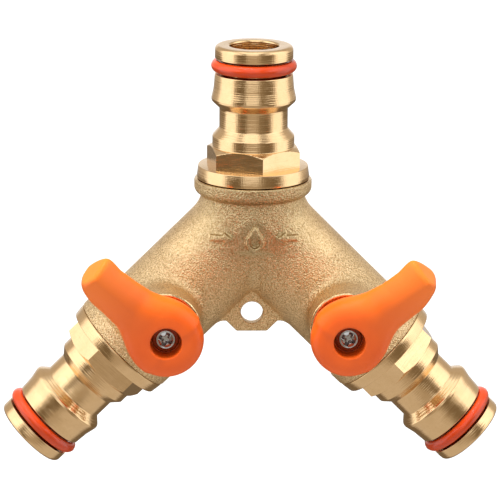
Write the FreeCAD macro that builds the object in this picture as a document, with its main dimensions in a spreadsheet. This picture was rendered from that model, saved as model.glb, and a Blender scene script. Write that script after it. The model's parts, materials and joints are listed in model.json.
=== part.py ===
"""Two-way hose splitter: a cast brass Y body, three turned quick-connect nipples and two lever ball valves.

The row frame stands upright: +Z up along the inlet, +X from the left outlet to the right one, and the
levers on the -Y side. The origin lies on the inlet axis, in the middle of the inlet nipple's tip land.
Three local frames are used below, each turned into the row frame by a placement:
  body frame    the row frame moved down to the point where the inlet and outlet axes meet
  nipple frame  +Z along the hose axis, zero on the flange face that seats on the casting
  valve frame   +Z out along the stem, +X along the lever at rest, zero on the waterway axis
"""
import FreeCAD
import Part
import Sketcher
import math
import os
import re
from FreeCAD import Placement, Rotation, Vector

doc = FreeCAD.newDocument("hose_splitter")
sheet = doc.addObject("Spreadsheet::Sheet", "dims")

# alias, value in millimetres or degrees, what it is
DIMENSIONS = [
    ("leg_angle", 45, "each outlet's angle from straight down"),
    ("inlet_joint", 8.75, "axis crossing to the inlet's joint face"),
    ("leg_joint", 37.5, "axis crossing to an outlet's joint face"),
    ("pivot_along", 25.9, "axis crossing to a valve's stem axis, along the leg"),
    ("barrel_r", 10.4, "inlet barrel, outside radius"),
    ("leg_tube_r", 10.3, "leg tube, outside radius"),
    ("inlet_rim_r", 12.05, "rim at the inlet's joint face"),
    ("inlet_rim_tall", 1.75, "its cylindrical height"),
    ("leg_rim_r", 11.5, "rim at an outlet's joint face"),
    ("leg_rim_tall", 1.4, "its cylindrical height"),
    ("rim_taper", 1.4, "length of the inlet rim's taper"),
    ("leg_rim_taper", 3.4, "length of an outlet rim's taper"),
    ("boss_r", 7.1, "stem boss, outside radius"),
    ("boss_face", 18.5, "waterway axis to the boss face"),
    ("boss_chamfer", 0.6, "turned edge of the boss face"),
    ("inlet_way_r", 6.5, "waterway radius in the inlet"),
    ("leg_way_r", 5.0, "waterway radius in the legs and the nipples"),
    ("chamber_r", 7.55, "ball chamber radius"),
    ("spigot_r", 8.5, "nipple spigot, radius over its thread"),
    ("spigot_long", 4.5, "nipple spigot length"),
    ("spigot_gap", 0.05, "radial clearance of the spigot in the casting"),
    ("seal_inner_r", 8.6, "flange seal, inside radius"),
    ("seal_outer_r", 9.6, "flange seal, outside radius"),
    ("seal_tall", 1.0, "flange seal thickness"),
    ("flange_r", 11.5, "nipple flange radius"),
    ("flange_tall", 2.75, "nipple flange thickness"),
    ("flange_edge", 0.25, "chamfer on the flange"),
    ("hex_flats", 17.4, "hexagon, size across flats"),
    ("hex_tall", 4.0, "hexagon height"),
    ("hex_bevel", 0.8, "height of the bevel on the hexagon's corners"),
    ("hex_crown_r", 8.68, "radius where that bevel meets the hexagon's top"),
    ("shank_r", 8.4, "plain band above the hexagon"),
    ("shank_top", 8.95, "joint face to the top of that band"),
    ("neck_r", 7.0, "locking neck radius"),
    ("neck_low", 10.6, "joint face to the bottom of the neck"),
    ("neck_high", 14.55, "joint face to the top of the neck"),
    ("collar_r", 8.6, "locking collar, largest radius"),
    ("collar_low", 16.1, "joint face to the collar's locking edge"),
    ("collar_high", 16.7, "joint face to the start of the collar's taper"),
    ("collar_break_r", 8.22, "collar radius where its taper eases"),
    ("collar_break", 18.85, "joint face to that change of taper"),
    ("groove_edge_r", 7.98, "collar radius beside the O-ring groove"),
    ("groove_low", 21.85, "joint face to the O-ring groove"),
    ("groove_high", 25.05, "joint face to the tip land"),
    ("groove_r", 6.35, "O-ring groove, bottom radius"),
    ("tip_r", 8.0, "tip land radius"),
    ("tip_end", 27.65, "joint face to the tip"),
    ("tip_edge", 0.5, "chamfer on the tip"),
    ("mouth_edge", 0.45, "chamfer at the nipple's mouth"),
    ("inlet_hex_turn", -9, "inlet hexagon's corner, turned from facing the levers"),
    ("left_hex_turn", -26, "left outlet hexagon's turn"),
    ("right_hex_turn", 3, "right outlet hexagon's turn"),
    ("oring_r", 7.55, "nipple O-ring, radius to the middle of its cord"),
    ("oring_cord_r", 1.2, "nipple O-ring, cord radius"),
    ("ball_r", 7.0, "ball radius"),
    ("ball_way_r", 4.5, "ball bore radius"),
    ("slot_wide", 2.1, "drive slot in the ball"),
    ("slot_floor", 5.4, "ball centre to the floor of its slot"),
    ("seat_way_r", 4.7, "seat, inside radius"),
    ("seat_r", 7.5, "seat, outside radius"),
    ("seat_near", 4.1, "ball centre to the seat's near face"),
    ("seat_tall", 3.0, "seat thickness"),
    ("seat_gap", 0.03, "film between ball and seat"),
    ("stem_hole_r", 3.05, "stem hole in the boss"),
    ("stem_r", 3.0, "stem radius"),
    ("stem_shoulder", 19.0, "waterway axis to the shoulder under the lever"),
    ("stem_end", 24.6, "waterway axis to the stem's outer end"),
    ("drive_r", 2.7, "stem radius inside the lever"),
    ("drive_flat", 2.0, "stem axis to each drive flat"),
    ("drive_gap", 0.05, "clearance of the drive in the lever"),
    ("collar_pocket_r", 4.1, "pocket for the stem's retaining collar"),
    ("collar_pocket_top", 9.5, "waterway axis to the pocket's roof"),
    ("stem_collar_r", 3.95, "retaining collar radius"),
    ("stem_collar_low", 7.6, "waterway axis to the retaining collar"),
    ("stem_collar_high", 8.95, "waterway axis to its thrust face"),
    ("washer_inner_r", 3.1, "thrust washer, inside radius"),
    ("washer_outer_r", 4.0, "thrust washer, outside radius"),
    ("washer_tall", 0.5, "thrust washer thickness"),
    ("tang_wide", 5.6, "stem tang width"),
    ("tang_thick", 2.0, "stem tang thickness"),
    ("tang_end", 5.5, "waterway axis to the tang's end"),
    ("gland_r", 1.93, "stem O-ring groove, bottom radius"),
    ("gland_tall", 1.3, "stem O-ring groove height"),
    ("gland_low", 12.0, "waterway axis to the lower groove's middle"),
    ("gland_high", 15.0, "waterway axis to the upper groove's middle"),
    ("stem_ring_r", 2.48, "stem O-ring, radius to the middle of its cord"),
    ("stem_ring_cord_r", 0.54, "stem O-ring, cord radius"),
    ("thread_r", 1.25, "tapped hole in the stem"),
    ("thread_depth", 6.0, "its depth"),
    ("hub_base_r", 6.1, "lever hub, radius at its underside"),
    ("hub_r", 7.8, "lever hub, largest radius"),
    ("hub_wide_at", 26.0, "waterway axis to the hub's widest level"),
    ("hub_lean", 0.2, "how far the hub's side leans in towards the face"),
    ("hub_edge", 2.2, "rounding round the hub's face"),
    ("arm_end", 22.1, "stem axis to the end of the arm"),
    ("arm_end_low", 27.6, "waterway axis to the start of the slope on the arm's end"),
    ("arm_end_lean", 20, "how far that slope leans back"),
    ("lever_face", 29.5, "waterway axis to the hub's face"),
    ("recess_r", 3.15, "screw recess radius"),
    ("recess_floor", 25.3, "waterway axis to the recess floor"),
    ("socket_top", 24.7, "waterway axis to the roof of the drive socket"),
    ("screw_hole_r", 1.4, "screw hole through the recess floor"),
    ("stop_r", 4.4, "stem axis to the stop nub"),
    ("nub_r", 0.7, "stop nub radius"),
    ("nub_tall", 1.3, "stop nub height"),
    ("track_inner_r", 3.6, "stop track, inside radius"),
    ("track_outer_r", 5.2, "stop track, outside radius"),
    ("track_deep", 1.6, "stop track depth"),
    ("track_angle", 114.5, "stop track angle: a quarter turn, the nub and clearance"),
    ("screw_r", 1.2, "screw thread radius"),
    ("screw_end", 19.6, "waterway axis to the screw's point"),
    ("screw_point", 0.5, "chamfer on the point"),
    ("head_r", 2.8, "screw head radius"),
    ("head_side", 0.7, "straight side of the screw head"),
    ("head_shoulder_r", 2.3, "radius where the head's side turns over"),
    ("head_shoulder", 1.4, "seating face to that shoulder"),
    ("head_tall", 1.7, "screw head height"),
    ("head_crown_r", 1.3, "flat crown of the screw head"),
    ("cross_long", 3.3, "cross recess, tip to tip"),
    ("cross_wide", 0.7, "cross recess, arm width"),
    ("cross_deep", 1.0, "cross recess depth"),
    ("lug_thick", 2.8, "hanging lug thickness"),
    ("lug_hole_r", 2.2, "hanging hole radius"),
    ("lug_hole_drop", 19.7, "axis crossing down to the hole"),
    ("lug_drop", 23.65, "axis crossing down to the lug's bottom edge"),
    ("lug_foot", 3.15, "half the bottom edge"),
    ("lug_bevel", 2.15, "corner cut of the lug"),
    ("web_half", 7.6, "half the width of the web between the legs"),
    ("web_top", 11.0, "axis crossing down to the web's peak"),
    ("relief_proud", 0.5, "height of the raised signs"),
    ("relief_drop", 1.6, "axis crossing down to the arrows' centre line"),
    ("sign_reach", 17.5, "depth of the blocks that the signs are cut from"),
    ("arrow_near", 4.5, "inlet axis to an arrow's point"),
    ("arrow_long", 4.5, "arrow length"),
    ("arrow_head_long", 1.9, "arrowhead length"),
    ("arrow_head_half", 1.05, "half the arrowhead's width"),
    ("arrow_shaft_half", 0.4, "half the shaft's width"),
    ("drop_low", 0.8, "arrows' centre line down to the water drop's round part"),
    ("drop_r", 1.75, "radius of that part"),
    ("drop_tall", 3.5, "its centre to the drop's point"),
    ("overrun", 1, "how far a cutting tool runs past the surface"),
]
ALIASES = {alias for alias, size, meaning in DIMENSIONS}
LEVER_SECTIONS = [
    # along the arm, half width, height of the middle, half thickness
    (0.0, 6.0, 24.4, 4.3),
    (5.0, 5.9, 25.0, 4.3),
    (9.0, 5.2, 26.5, 4.1),
    (13.0, 4.7, 28.2, 3.95),
    (17.0, 4.55, 29.8, 3.9),
    (20.2, 4.45, 31.0, 3.8),
    (21.5, 3.75, 31.2, 3.4),
    (22.1, 2.9, 31.3, 2.7),
]
for row, (alias, size, meaning) in enumerate(DIMENSIONS, start=1):
    sheet.set(f"A{row}", alias)
    sheet.set(f"B{row}", str(size))
    sheet.set(f"C{row}", meaning)
    sheet.setAlias(f"B{row}", alias)
for row, section in enumerate(LEVER_SECTIONS, start=1):
    for column, size in zip("EFGH", section):
        sheet.set(f"{column}{row}", str(size))
doc.recompute()


def size_of(expression):
    """The value of a sheet expression, in millimetres or degrees."""
    result = sheet.evalExpression(expression)
    return float(getattr(result, "Value", result))


def bind(item, **formulas):
    """Drive an object's properties from the sheet: property = formula, with aliases as bare names."""
    for name, formula in formulas.items():
        item.setExpression(name.replace("__", "."), sheet_names(formula))
    return item


def sheet_names(formula):
    """The formula with every alias written as the document refers to it."""
    return re.sub(r"[A-Za-z_]\w*", lambda word: f"dims.{word[0]}" if word[0] in ALIASES else word[0], formula)


# ---------------------------------------------------------------- placements

def leg_direction(side):
    """Unit vector down a leg; side is -1 for the left one and +1 for the right one."""
    angle = math.radians(size_of("leg_angle"))
    return Vector(side * math.sin(angle), 0, -math.cos(angle))


def origin_drop():
    """Height of the origin above the crossing of the axes."""
    return size_of("inlet_joint + (groove_high + tip_end - tip_edge) / 2")


def along(axis, distance, turn=0):
    """Placement at a distance down an axis from the crossing, +Z along it, +X turned from -Y."""
    front = Vector(0, -1, 0)
    side = front.cross(axis)
    angle = math.radians(turn)
    x_axis = front * math.cos(angle) + side * math.sin(angle)
    turned = Rotation(x_axis, axis.cross(x_axis), axis, "ZXY")
    return Placement(axis * distance + Vector(0, 0, -origin_drop()), turned)


def valve(side, height=0):
    """Placement of a valve frame: +Z towards -Y along the stem, +X along the lever at rest."""
    out = Vector(0, -1, 0)
    leg = leg_direction(side)
    lever = Vector(side * abs(leg.z), 0, abs(leg.x))
    turned = Rotation(lever, out.cross(lever), out, "ZXY")
    return Placement(leg * size_of("pivot_along") + out * height + Vector(0, 0, -origin_drop()), turned)


INLET_AXIS = Vector(0, 0, 1)
SIDES = {"left": -1, "right": 1}


# ---------------------------------------------------------------- builders

HORIZONTAL_AXIS = -1
VERTICAL_AXIS = -2
SAME_HEIGHT = 0.01


def finish(item, name, placement):
    """Give a sub-part its name and its place."""
    item.Label = name
    item.Placement = placement
    sub_parts.append(item)


def new_body(name):
    return doc.addObject("PartDesign::Body", name)


def origin_plane(body, role):
    return next(item for item in body.Origin.OriginFeatures if item.Role == role)


def body_sketch(body, name, plane, height=None):
    """Empty sketch on one of a body's own planes, or at a height above it."""
    sketch = body.newObject("Sketcher::SketchObject", name)
    sketch.AttachmentSupport = (origin_plane(body, plane), "")
    sketch.MapMode = "FlatFace"
    if height:
        sketch.setExpression("AttachmentOffset.Base.z", sheet_names(height))
    return sketch


def outline(sketch, corners):
    """Draw a closed outline. Each corner's two places are sheet formulas; "0" lies on the sketch's axis."""
    points = [Vector(size_of(across), size_of(up), 0) for across, up in corners]
    count = len(points)
    for index in range(count):
        sketch.addGeometry(Part.LineSegment(points[index], points[(index + 1) % count]))
    for index in range(count):
        sketch.addConstraint(Sketcher.Constraint("Coincident", index, 2, (index + 1) % count, 1))
    for index, (across, up) in enumerate(corners):
        hold_point(sketch, index, "DistanceX", across, VERTICAL_AXIS)
        hold_point(sketch, index, "DistanceY", up, HORIZONTAL_AXIS)


def hold_point(sketch, edge, kind, formula, axis):
    """Tie the start of an edge to the sheet in one direction, measured from the sketch's origin."""
    if formula == "0":
        sketch.addConstraint(Sketcher.Constraint("PointOnObject", edge, 1, axis))
        return
    distance = Sketcher.Constraint(kind, -1, 1, edge, 1, size_of(formula))
    constraint = sketch.addConstraint(distance)
    sketch.setExpression(f"Constraints[{constraint}]", sheet_names(formula))


def circle(sketch, radius):
    """Circle about the sketch's origin, its radius a sheet formula."""
    edge = sketch.addGeometry(Part.Circle(Vector(0, 0, 0), Vector(0, 0, 1), size_of(radius)))
    sketch.addConstraint(Sketcher.Constraint("Coincident", edge, 3, -1, 1))
    constraint = sketch.addConstraint(Sketcher.Constraint("Radius", edge, size_of(radius)))
    sketch.setExpression(f"Constraints[{constraint}]", sheet_names(radius))


def turned_body(name, corners):
    """Body of revolution about its own Z axis; corners are (radius, height) formulas."""
    body = new_body(name)
    sketch = body_sketch(body, name + "_profile", "XZ_Plane")
    outline(sketch, corners)
    turn = body.newObject("PartDesign::Revolution", name + "_turned")
    turn.Profile = sketch
    turn.ReferenceAxis = (sketch, ["V_Axis"])
    turn.Angle = 360
    doc.recompute()
    return body


def pocket(body, sketch, depth):
    """Cut a sketch into a body, and make sure that it removes material."""
    before = body.Shape.Volume
    cut = body.newObject("PartDesign::Pocket", sketch.Name + "_cut")
    cut.Profile = sketch
    cut.Type = "Length"
    cut.setExpression("Length", sheet_names(depth))
    doc.recompute()
    if body.Shape.Volume >= before:
        raise RuntimeError(f"{sketch.Name} cuts nothing")


def cylinder(name, radius, tall, placement=None):
    item = bind(doc.addObject("Part::Cylinder", name), Radius=radius, Height=tall)
    item.Placement = placement or Placement()
    return item


def cone(name, low_radius, high_radius, tall, placement=None):
    item = bind(doc.addObject("Part::Cone", name), Radius1=low_radius, Radius2=high_radius, Height=tall)
    item.Placement = placement or Placement()
    return item


def fused(name, pieces):
    item = doc.addObject("Part::MultiFuse", name)
    item.Shapes = pieces
    return item


def cut_from(name, solid, tool):
    item = doc.addObject("Part::Cut", name)
    item.Base = solid
    item.Tool = tool
    return item


# ---------------------------------------------------------------- casting

def body_frame(placement):
    """A row-frame placement moved back into the body frame."""
    return Placement(Vector(0, 0, origin_drop()), Rotation()).multiply(placement)


def on_leg(side, distance):
    return body_frame(along(leg_direction(side), size_of(distance)))


def on_valve(side, height):
    return body_frame(valve(side, size_of(height)))


def outer_skin(name, proud):
    """Barrel and both leg tubes, with no rims, grown by a formula."""
    pieces = [cylinder(name + "_barrel", "barrel_r" + proud, "inlet_joint")]
    for word, side in SIDES.items():
        tube = cylinder(f"{name}_{word}_tube", "leg_tube_r" + proud, "leg_joint", on_leg(side, "0"))
        pieces.append(tube)
    return fused(name, pieces)


def inlet_rim():
    """The thick ring that carries the inlet nipple, with a tapered underside."""
    top = cylinder("inlet_rim_band", "inlet_rim_r", "inlet_rim_tall")
    bind(top, Placement__Base__z="inlet_joint - inlet_rim_tall")
    taper = cone("inlet_rim_taper", "barrel_r", "inlet_rim_r", "rim_taper")
    bind(taper, Placement__Base__z="inlet_joint - inlet_rim_tall - rim_taper")
    return [top, taper]


def leg_rim(word, side):
    """The ring that carries an outlet nipple, tapering into the leg tube."""
    band = cylinder(f"{word}_rim_band", "leg_rim_r", "leg_rim_tall", on_leg(side, "leg_joint - leg_rim_tall"))
    start = on_leg(side, "leg_joint - leg_rim_tall - leg_rim_taper")
    taper = cone(f"{word}_rim_taper", "leg_tube_r", "leg_rim_r", "leg_rim_taper", start)
    return [band, taper]


def stem_boss(word, side):
    """The boss round a stem, its turned edge, and the nub that stops the lever."""
    post = cylinder(f"{word}_boss", "boss_r", "boss_face - boss_chamfer", on_valve(side, "0"))
    edge = cone(f"{word}_boss_edge", "boss_r", "boss_r - boss_chamfer", "boss_chamfer",
                on_valve(side, "boss_face - boss_chamfer"))
    nub = cylinder(f"{word}_stop_nub", "nub_r", "nub_tall + boss_chamfer")
    place = on_valve(side, "boss_face - boss_chamfer")
    nub.Placement = Placement(place.Base - Vector(0, 0, size_of("stop_r")), place.Rotation)
    return [post, edge, nub]


UPRIGHT = Rotation(Vector(1, 0, 0), 90)


def standing_outline(name, corners):
    """Outline drawn upright in the plane of the axes, facing -Y."""
    sketch = doc.addObject("Sketcher::SketchObject", name)
    outline(sketch, corners)
    sketch.Placement = Placement(Vector(0, 0, 0), UPRIGHT)
    return sketch


def slab(name, sketch, front, back):
    """Extrude an upright sketch from its plane to the front (-Y) and to the back (+Y)."""
    item = doc.addObject("Part::Extrusion", name)
    item.Base = sketch
    item.DirMode = "Normal"
    item.Solid = True
    return bind(item, LengthFwd=front, LengthRev=back)


def hanging_lug():
    """Flat web between the legs with a bevelled tab below it."""
    corners = [
        ("-lug_foot", "-lug_drop"),
        ("lug_foot", "-lug_drop"),
        ("lug_foot + lug_bevel", "-lug_drop + lug_bevel"),
        ("web_half", "-lug_drop + lug_bevel"),
        ("0", "-web_top"),
        ("-web_half", "-lug_drop + lug_bevel"),
        ("-lug_foot - lug_bevel", "-lug_drop + lug_bevel"),
    ]
    return slab("lug", standing_outline("lug_outline", corners), "lug_thick / 2", "lug_thick / 2")


def arrow_sign(word, side):
    """Raised arrow that points to the middle: the way to turn that lever to open."""
    mark = "-" if side < 0 else ""
    tip = f"{mark}(arrow_near)"
    shoulder = f"{mark}(arrow_near + arrow_head_long)"
    tail = f"{mark}(arrow_near + arrow_long)"
    corners = [
        (tip, "-relief_drop"),
        (shoulder, "-relief_drop + arrow_head_half"),
        (shoulder, "-relief_drop + arrow_shaft_half"),
        (tail, "-relief_drop + arrow_shaft_half"),
        (tail, "-relief_drop - arrow_shaft_half"),
        (shoulder, "-relief_drop - arrow_shaft_half"),
        (shoulder, "-relief_drop - arrow_head_half"),
    ]
    return slab(f"{word}_arrow", standing_outline(f"{word}_arrow_outline", corners), "sign_reach", "0")


def drop_sign():
    """Raised water drop between the arrows: a disc and the tangent lines to its point."""
    disc = cylinder("drop_disc", "drop_r", "sign_reach")
    disc.Placement = Placement(Vector(0, 0, -size_of("relief_drop + drop_low")), UPRIGHT)
    reach = "drop_r * (1 - (drop_r / drop_tall) ^ 2) ^ 0.5"
    touch = "-relief_drop - drop_low + drop_r ^ 2 / drop_tall"
    corners = [(f"-{reach}", touch), (reach, touch), ("0", "-relief_drop - drop_low + drop_tall")]
    point = slab("drop_point", standing_outline("drop_outline", corners), "sign_reach", "0")
    return [disc, point]


def raised_signs():
    """The signs, cut to follow the casting's skin at an even height."""
    signs = drop_sign()
    for word, side in SIDES.items():
        signs.append(arrow_sign(word, side))
    relief = doc.addObject("Part::Common", "raised_signs")
    relief.Base = fused("sign_prisms", signs)
    relief.Tool = outer_skin("grown_skin", " + relief_proud")
    return relief


def waterways():
    """Everything that is bored out of the casting."""
    heart = bind(doc.addObject("Part::Sphere", "inlet_heart"), Radius="inlet_way_r")
    thread = cylinder("inlet_thread", "spigot_r + spigot_gap", "spigot_long + overrun")
    bind(thread, Placement__Base__z="inlet_joint - spigot_long")
    seal_seat = cylinder("inlet_seal_seat", "seal_outer_r + spigot_gap", "seal_tall + overrun")
    bind(seal_seat, Placement__Base__z="inlet_joint - seal_tall")
    tools = [cylinder("inlet_way", "inlet_way_r", "inlet_joint"), heart, thread, seal_seat, lug_hole()]
    for word, side in SIDES.items():
        tools += [
            cylinder(f"{word}_way", "leg_way_r", "pivot_along", on_leg(side, "0")),
            cylinder(f"{word}_chamber", "chamber_r", "seat_near * 2 + seat_tall * 2",
                     on_leg(side, "pivot_along - seat_near - seat_tall")),
            cylinder(f"{word}_thread", "spigot_r + spigot_gap", "spigot_long + overrun",
                     on_leg(side, "leg_joint - spigot_long")),
            cylinder(f"{word}_seal_seat", "seal_outer_r + spigot_gap", "seal_tall + overrun",
                     on_leg(side, "leg_joint - seal_tall")),
            cylinder(f"{word}_stem_hole", "stem_hole_r", "boss_face + overrun", on_valve(side, "0")),
            cylinder(f"{word}_collar_pocket", "collar_pocket_r", "collar_pocket_top", on_valve(side, "0")),
        ]
    return fused("waterways", tools)


def lug_hole():
    hole = cylinder("lug_hole", "lug_hole_r", "lug_thick + overrun * 2")
    start = Vector(0, size_of("lug_thick / 2 + overrun"), -size_of("lug_hole_drop"))
    hole.Placement = Placement(start, UPRIGHT)
    return hole


def valve_body():
    """The one-piece brass casting."""
    pieces = [outer_skin("skin", "")] + inlet_rim() + [hanging_lug(), raised_signs()]
    for word, side in SIDES.items():
        pieces += leg_rim(word, side) + stem_boss(word, side)
    casting = cut_from("casting", fused("casting_blank", pieces), waterways())
    finish(casting, "valve_body", Placement(Vector(0, 0, -origin_drop()), Rotation()))


# ---------------------------------------------------------------- nipples

def nipple(name, placement):
    """Turned quick-connect nipple: spigot, flange, hexagon, locking neck, collar and O-ring groove."""
    corner_r = "hex_flats / 3 ^ 0.5"
    hex_top = "flange_tall + hex_tall"
    body = turned_body(name, [
        ("leg_way_r", "-spigot_long"),
        ("spigot_r - flange_edge", "-spigot_long"),
        ("spigot_r", "-spigot_long + flange_edge"),
        ("spigot_r", "0"),
        ("flange_r", "0"),
        ("flange_r", "flange_tall - flange_edge"),
        ("flange_r - flange_edge", "flange_tall"),
        (corner_r, "flange_tall"),
        (corner_r, f"{hex_top} - hex_bevel"),
        ("hex_crown_r", hex_top),
        ("shank_r", hex_top),
        ("shank_r", "shank_top"),
        ("neck_r", "neck_low"),
        ("neck_r", "neck_high"),
        ("collar_r", "collar_low"),
        ("collar_r", "collar_high"),
        ("collar_break_r", "collar_break"),
        ("groove_edge_r", "groove_low"),
        ("groove_r", "groove_low"),
        ("groove_r", "groove_high"),
        ("tip_r", "groove_high"),
        ("tip_r", "tip_end - tip_edge"),
        ("tip_r - tip_edge", "tip_end"),
        ("leg_way_r + mouth_edge", "tip_end"),
        ("leg_way_r", "tip_end - mouth_edge"),
    ])
    hexagon = []
    for corner in range(6):
        hexagon.append((f"{corner_r} * cos({60 * corner} deg)", f"{corner_r} * sin({60 * corner} deg)"))
    sketch = body_sketch(body, name + "_hexagon", "XY_Plane", hex_top)
    outline(sketch, hexagon)
    circle(sketch, "flange_r + overrun")
    pocket(body, sketch, "hex_tall")
    finish(body, name, placement)


def nipple_oring(name, placement):
    ring = bind(doc.addObject("Part::Torus", name), Radius1="oring_r", Radius2="oring_cord_r")
    lift = Placement(Vector(0, 0, size_of("(groove_low + groove_high) / 2")), Rotation())
    finish(ring, name, placement.multiply(lift))


def flat_ring(name, inner, outer, tall, placement):
    """Plain washer or seal with its underside on its own origin."""
    body = new_body(name)
    sketch = body_sketch(body, name + "_rings", "XY_Plane")
    circle(sketch, outer)
    circle(sketch, inner)
    pad = body.newObject("PartDesign::Pad", name + "_pad")
    pad.Profile = sketch
    pad.setExpression("Length", sheet_names(tall))
    finish(body, name, placement)


def hose_ports():
    """Each port's nipple, hose O-ring and flange seal."""
    ports = {
        "inlet": (INLET_AXIS, "inlet_joint", "inlet_hex_turn"),
        "left_outlet": (leg_direction(-1), "leg_joint", "left_hex_turn"),
        "right_outlet": (leg_direction(1), "leg_joint", "right_hex_turn"),
    }
    for word, (axis, joint, turn) in ports.items():
        place = along(axis, size_of(joint), size_of(turn))
        nipple(f"{word}_nipple", place)
        nipple_oring(f"{word}_hose_oring", place)
        seal_place = along(axis, size_of(f"{joint} - seal_tall"))
        flat_ring(f"{word}_flange_seal", "seal_inner_r", "seal_outer_r", "seal_tall", seal_place)


# ---------------------------------------------------------------- valves

def ball(word, side):
    """Ball with its waterway along the lever and its drive slot along the leg."""
    name = f"{word}_ball"
    sphere = bind(doc.addObject("Part::Sphere", name + "_blank"), Radius="ball_r")
    start = Vector(-size_of("ball_r + overrun"), 0, 0)
    way = cylinder(name + "_way", "ball_way_r", "(ball_r + overrun) * 2",
                   Placement(start, Rotation(Vector(0, 1, 0), 90)))
    slot = doc.addObject("Part::Box", name + "_slot")
    bind(slot, Length="slot_wide", Width="(ball_r + overrun) * 2", Height="ball_r")
    bind(slot, Placement__Base__x="-slot_wide / 2", Placement__Base__y="-ball_r - overrun",
         Placement__Base__z="slot_floor")
    finish(cut_from(name, sphere, fused(name + "_cuts", [way, slot])), name, valve(side))


def seat(name, side, toward_outlet):
    """PTFE ring between the ball and the end of its chamber."""
    blank = cylinder(name + "_blank", "seat_r", "seat_tall")
    way = cylinder(name + "_way", "seat_way_r", "seat_tall + overrun * 2")
    bind(way, Placement__Base__z="-overrun")
    hollow = bind(doc.addObject("Part::Sphere", name + "_hollow"), Radius="ball_r + seat_gap")
    bind(hollow, Placement__Base__z="-seat_near")
    leg = leg_direction(side)
    place = along(leg, size_of("pivot_along + seat_near"))
    if not toward_outlet:
        place = along(leg, size_of("pivot_along - seat_near"))
        place.Rotation = along(leg * -1, 0).Rotation
    finish(cut_from(name, blank, fused(name + "_cuts", [way, hollow])), name, place)


def stem(word, side):
    """Blow-out-proof stem: tang, retaining collar, two O-ring grooves and a flatted drive."""
    name = f"{word}_stem"
    corners = [
        ("0", "stem_collar_low"),
        ("stem_collar_r", "stem_collar_low"),
        ("stem_collar_r", "stem_collar_high"),
        ("stem_r", "stem_collar_high"),
    ]
    for gland in ("gland_low", "gland_high"):
        corners += [
            ("stem_r", f"{gland} - gland_tall / 2"),
            ("gland_r", f"{gland} - gland_tall / 2"),
            ("gland_r", f"{gland} + gland_tall / 2"),
            ("stem_r", f"{gland} + gland_tall / 2"),
        ]
    corners += [
        ("stem_r", "stem_shoulder"),
        ("drive_r", "stem_shoulder"),
        ("drive_r", "stem_end"),
        ("thread_r", "stem_end"),
        ("thread_r", "stem_end - thread_depth"),
        ("0", "stem_end - thread_depth"),
    ]
    body = turned_body(name, corners)
    blade = body_sketch(body, name + "_tang", "XY_Plane", "tang_end")
    outline(blade, box_corners("-tang_thick / 2", "tang_thick / 2", "tang_wide / 2"))
    pad = body.newObject("PartDesign::Pad", name + "_tang_pad")
    pad.Profile = blade
    pad.setExpression("Length", sheet_names("stem_collar_low - tang_end"))
    doc.recompute()
    for flat, mark in (("near", ""), ("far", "-")):
        sketch = body_sketch(body, f"{name}_{flat}_flat", "XY_Plane", "stem_end")
        outline(sketch, box_corners(f"{mark}(drive_flat)", f"{mark}(drive_r + overrun)", "drive_r + overrun"))
        pocket(body, sketch, "stem_end - stem_shoulder")
    finish(body, name, valve(side))


def box_corners(start, end, half_up):
    """Rectangle between two places across, and as far up as down."""
    return [(start, f"-({half_up})"), (end, f"-({half_up})"), (end, half_up), (start, half_up)]


def stem_oring(name, side, gland):
    ring = bind(doc.addObject("Part::Torus", name), Radius1="stem_ring_r", Radius2="stem_ring_cord_r")
    finish(ring, name, valve(side, size_of(gland)))


def lever_hub(name):
    """Turned blank of the hub, with a well rounded face."""
    body = turned_body(name, [
        ("0", "stem_shoulder"),
        ("hub_base_r", "stem_shoulder"),
        ("hub_r", "hub_wide_at"),
        ("hub_r - hub_lean", "lever_face"),
        ("0", "lever_face"),
    ])
    blank = body.Tip
    rounding = body.newObject("PartDesign::Fillet", name + "_rounding")
    rounding.Base = (blank, [rim_edge(blank.Shape, size_of("lever_face"))])
    rounding.setExpression("Radius", sheet_names("hub_edge"))
    doc.recompute()
    return body


def rim_edge(shape, height):
    """Name of the round edge at a height."""
    for index, edge in enumerate(shape.Edges, start=1):
        level = edge.BoundBox.Center.z
        if isinstance(edge.Curve, Part.Circle) and abs(level - height) < SAME_HEIGHT:
            return f"Edge{index}"
    raise RuntimeError(f"no round edge at {height}")


def lever_arm(name):
    """Arm lofted through oval sections, rising away from the casting, with a sloped end."""
    upright = Rotation(Vector(0, 1, 0), Vector(0, 0, 1), Vector(1, 0, 0), "ZXY")
    sections = []
    for row in range(1, len(LEVER_SECTIONS) + 1):
        oval = doc.addObject("Part::Ellipse", f"{name}_section_{row}")
        oval.Placement = Placement(Vector(0, 0, 0), upright)
        bind(oval, MajorRadius=f"dims.F{row}", MinorRadius=f"dims.H{row}")
        bind(oval, Placement__Base__x=f"dims.E{row}", Placement__Base__z=f"dims.G{row}")
        sections.append(oval)
    loft = doc.addObject("Part::Loft", name + "_loft")
    loft.Sections = sections
    loft.Solid = True
    loft.Ruled = False
    slope = doc.addObject("Part::Box", name + "_slope")
    bind(slope, Length="hub_r", Width="hub_r * 2", Height="lever_face")
    corner = Vector(size_of("arm_end"), -size_of("hub_r"), size_of("arm_end_low"))
    slope.Placement = Placement(corner, Rotation(Vector(0, 1, 0), -size_of("arm_end_lean")))
    return cut_from(name, loft, slope)


def stop_track(name):
    """Arc cut in the hub's underside, on the side away from the arm, in which the stop nub runs."""
    body = new_body(name)
    sketch = body_sketch(body, name + "_profile", "XZ_Plane")
    outline(sketch, [
        ("-track_outer_r", "stem_shoulder - overrun"),
        ("-track_inner_r", "stem_shoulder - overrun"),
        ("-track_inner_r", "stem_shoulder + track_deep"),
        ("-track_outer_r", "stem_shoulder + track_deep"),
    ])
    turn = body.newObject("PartDesign::Revolution", name + "_turned")
    turn.Profile = sketch
    turn.ReferenceAxis = (sketch, ["V_Axis"])
    turn.setExpression("Angle", sheet_names("track_angle"))
    turn.Midplane = True
    return body


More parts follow.
